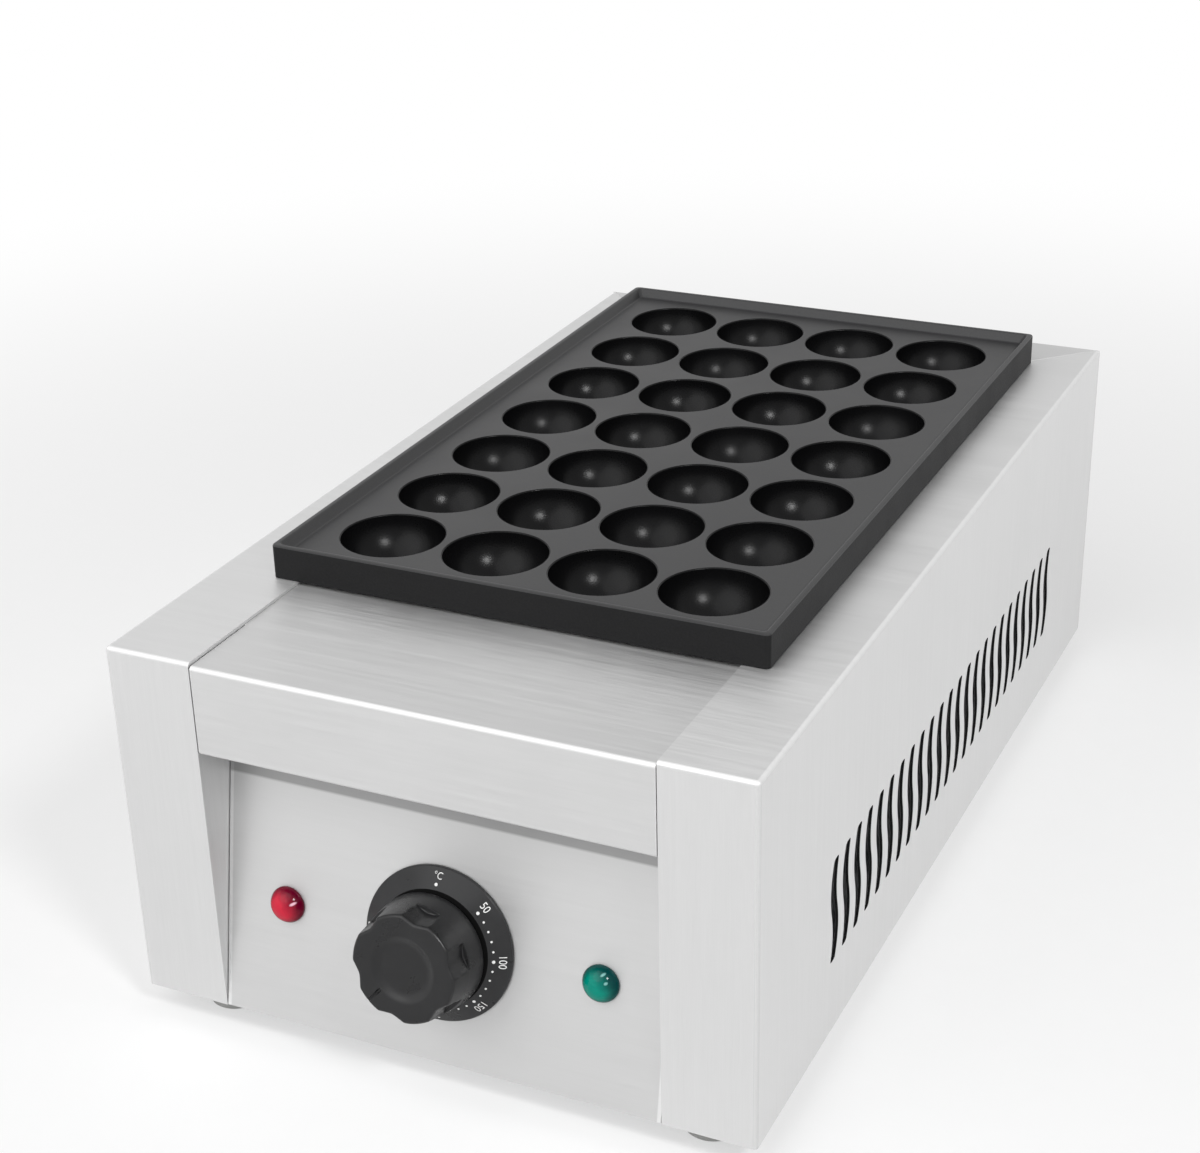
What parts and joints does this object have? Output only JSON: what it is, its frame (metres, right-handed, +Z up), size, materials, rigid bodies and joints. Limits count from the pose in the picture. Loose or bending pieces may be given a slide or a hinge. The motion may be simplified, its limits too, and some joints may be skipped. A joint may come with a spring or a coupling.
{
  "type": "takoyaki maker",
  "caption": "Countertop electric maker for batter balls: a cast plate of round cups on a folded steel housing with a thermostat knob and two signal lamps.",
  "frame": {"origin": "on the standing surface, below the centre of the housing", "axes": "+Z up, front with the control panel towards -Y, +X to the right seen from the front"},
  "size_m": [0.25, 0.4783, 0.1705],
  "materials": {
    "side_sheet": "stainless sheet brushed along the front edge",
    "rear_sheet": "brushed stainless sheet",
    "hood_sheet": "stainless sheet brushed across",
    "panel_sheet": "stainless sheet brushed across",
    "base_sheet": "plain mill-finish sheet",
    "cast_plate": "cast, dark non-stick coat, satin",
    "heater_tube": "sheathed tube, dull dark",
    "inner_steel": "plain sheet and bar, unpolished",
    "tray_sheet": "thin bright sheet",
    "fastener_steel": "plated screws, studs and nuts",
    "thermostat_case": "matt cream",
    "sensor_metal": "plain drawn tube",
    "dial_plastic": "satin black with a pale scale",
    "knob_plastic": "black, moulded",
    "red_lens": "translucent red",
    "green_lens": "translucent green",
    "lamp_body": "plain white",
    "foot_rubber": "plain grey, matt",
    "gland_plastic": "satin black",
    "earth_brass": "plain brass",
    "terminal_plastic": "plain white"
  },
  "bodies": {
    "cooker": {"side_panel_left": "side_sheet", "side_panel_right": "side_sheet", "rear_panel": "rear_sheet", "hood": "hood_sheet", "control_panel": "panel_sheet", "base_plate": "base_sheet", "cooking_plate": "cast_plate", "heating_element_left": "heater_tube", "heating_element_right": "heater_tube", "clamp_bar_front": "inner_steel", "clamp_bar_rear": "inner_steel", "heat_tray": "tray_sheet", "plate_studs": "fastener_steel", "stud_nuts": "fastener_steel", "element_bracket": "inner_steel", "thermostat_bracket": "inner_steel", "thermostat_body": "thermostat_case", "capillary_sensor": "sensor_metal", "sensor_clip": "inner_steel", "dial_ring": "dial_plastic", "dial_screws": "fastener_steel", "red_lens": "red_lens", "red_lamp": "lamp_body", "green_lens": "green_lens", "green_lamp": "lamp_body", "lamp_nuts": "lamp_body", "foot_front_left": "foot_rubber", "foot_front_right": "foot_rubber", "foot_rear_left": "foot_rubber", "foot_rear_right": "foot_rubber", "foot_screws": "fastener_steel", "cable_gland": "gland_plastic", "gland_cap": "gland_plastic", "gland_nut": "gland_plastic", "earth_stud": "earth_brass", "earth_nuts": "earth_brass", "terminal_block": "terminal_plastic"},
    "control": {"control_knob": "knob_plastic", "thermostat_spindle": "fastener_steel"}
  },
  "joints": [
    {"name": "thermostat_turn", "type": "hinge", "parent": "cooker", "child": "control", "pos_m": [0, -0.20862, 0.05856], "axis": [0, -0.9823, 0.1874], "range_deg": [-48, 222]}
  ]
}
